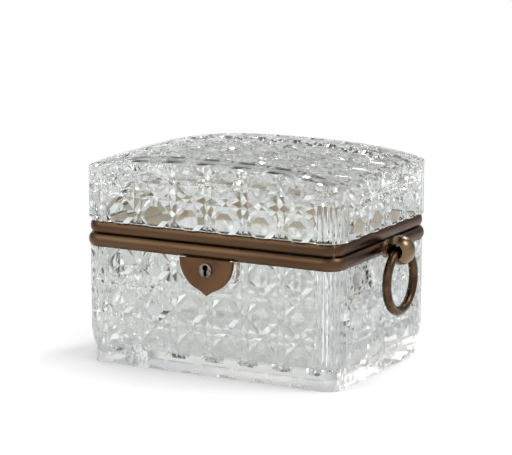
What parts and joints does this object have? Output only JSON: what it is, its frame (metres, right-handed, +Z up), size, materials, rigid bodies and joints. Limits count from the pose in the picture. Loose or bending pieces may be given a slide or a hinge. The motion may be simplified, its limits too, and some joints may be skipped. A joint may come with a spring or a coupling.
{
  "type": "glass casket box",
  "caption": "Cut-glass casket box with a domed hinged lid, rounded bronze rims, a shield escutcheon with lock, and loose ring handles on ball bosses at both ends",
  "frame": {"origin": "middle of the flat foot of the glass body, on the surface that the casket stands on", "axes": "+Z up; +X along the width, to the right as seen from the front; the lock faces -Y and the hinge is at the back, +Y"},
  "size_m": [0.1834, 0.1139, 0.1143],
  "materials": {
    "crystal": "clear cut crystal, polished",
    "bronze": "dark bronze patina, satin",
    "gilt_bronze": "bronze patina rubbed bright where it is handled",
    "brass": "plain brass, aged",
    "cement": "matte plaster cement",
    "steel": "filed steel"
  },
  "bodies": {
    "body": {"body_glass": "crystal", "body_rim": "bronze", "body_bedding": "cement", "body_hinge_leaf": "bronze", "hinge_pin": "brass", "body_leaf_rivets": "brass", "ring_boss_right": "gilt_bronze", "ring_boss_left": "gilt_bronze", "escutcheon": "bronze", "keyhole_bush": "brass", "lock_case": "brass", "lock_back_plate": "brass", "lock_screws": "steel", "key_pin": "steel", "bolt_spring": "steel"},
    "lid": {"lid_glass": "crystal", "lid_rim": "bronze", "lid_bedding": "cement", "lid_hinge_leaf": "bronze", "lid_leaf_rivets": "brass", "lid_catch": "brass", "catch_loops": "brass", "catch_rivets": "brass"},
    "ring_right": {"handle_ring_right": "gilt_bronze"},
    "ring_left": {"handle_ring_left": "gilt_bronze"},
    "bolt": {"lock_bolt": "steel"}
  },
  "joints": [
    {"name": "lid_hinge", "type": "hinge", "parent": "body", "child": "lid", "pos_m": [0, 0.05545, 0.06925], "axis": [-1, 0, 0], "range_deg": [0, 100]},
    {"name": "right_ring_swing", "type": "hinge", "parent": "body", "child": "ring_right", "pos_m": [0.084, 0, 0.0658], "axis": [0, -1, 0], "range_deg": [-10, 190]},
    {"name": "left_ring_swing", "type": "hinge", "parent": "body", "child": "ring_left", "pos_m": [-0.084, 0, 0.0658], "axis": [0, 1, 0], "range_deg": [-10, 190]},
    {"name": "bolt_throw", "type": "slide", "parent": "body", "child": "bolt", "axis": [1, 0, 0], "range_m": [0, 0.0028]}
  ]
}
